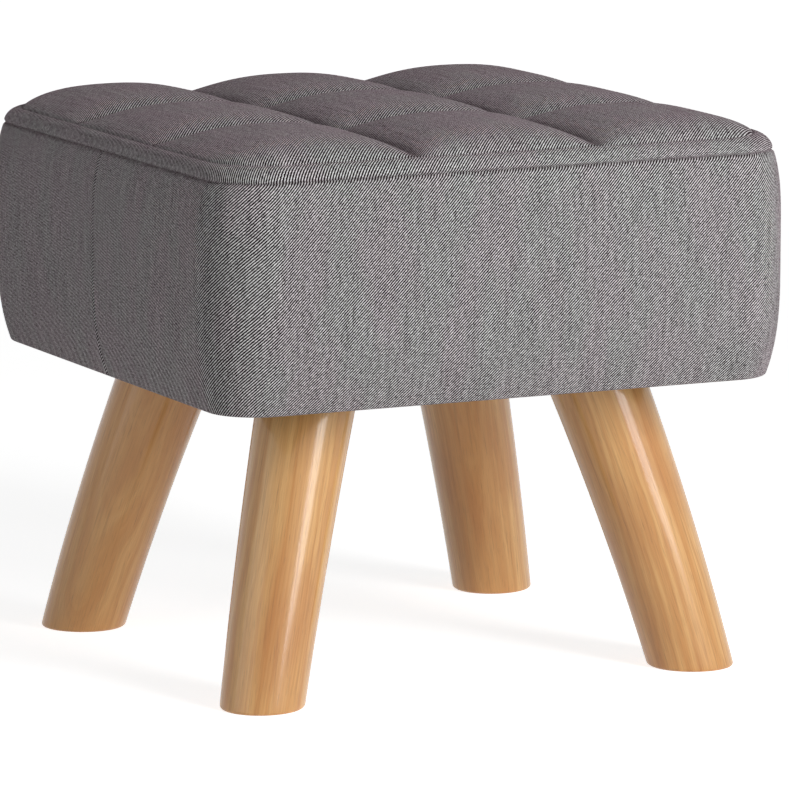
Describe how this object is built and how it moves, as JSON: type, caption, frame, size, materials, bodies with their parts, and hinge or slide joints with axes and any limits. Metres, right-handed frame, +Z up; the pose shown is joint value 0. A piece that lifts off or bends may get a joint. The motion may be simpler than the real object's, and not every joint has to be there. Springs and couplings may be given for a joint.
{
  "type": "footstool",
  "caption": "Square padded footstool with a biscuit-quilted cloth top and cloth sides, standing on splayed, slightly bowed round wooden legs.",
  "frame": {"origin": "on the floor, under the middle of the seat", "axes": "+Z up, +X to the right side, -Y to the front"},
  "size_m": [0.4, 0.39, 0.3558],
  "materials": {
    "cover_cloth": "matt twill in dark and pale grey yarns with a mauve cast",
    "wadding": "soft white wadding and backing cloth",
    "foam": "open-cell foam",
    "plywood": "bare plywood",
    "pine": "bare planed softwood",
    "leg_wood": "honey-coloured hardwood under satin lacquer",
    "dust_cloth": "matt black non-woven cloth",
    "zinc": "bright zinc plate"
  },
  "bodies": {
    "root": {"top_cover": "cover_cloth", "side_band": "cover_cloth", "quilt_wadding": "wadding", "quilt_backing": "wadding", "seat_foam": "foam", "front_foam": "foam", "back_foam": "foam", "left_foam": "foam", "right_foam": "foam", "deck_board": "plywood", "base_board": "plywood", "front_rail": "pine", "back_rail": "pine", "left_rail": "pine", "right_rail": "pine", "block_front_left": "pine", "block_front_right": "pine", "block_back_left": "pine", "block_back_right": "pine", "leg_front_left": "leg_wood", "leg_front_right": "leg_wood", "leg_back_left": "leg_wood", "leg_back_right": "leg_wood", "t_nuts": "zinc", "hanger_bolts": "zinc", "rail_screws": "zinc", "deck_screws": "zinc", "base_screws": "zinc", "band_staples": "zinc", "dust_staples": "zinc", "dust_cover": "dust_cloth"}
  },
  "joints": []
}
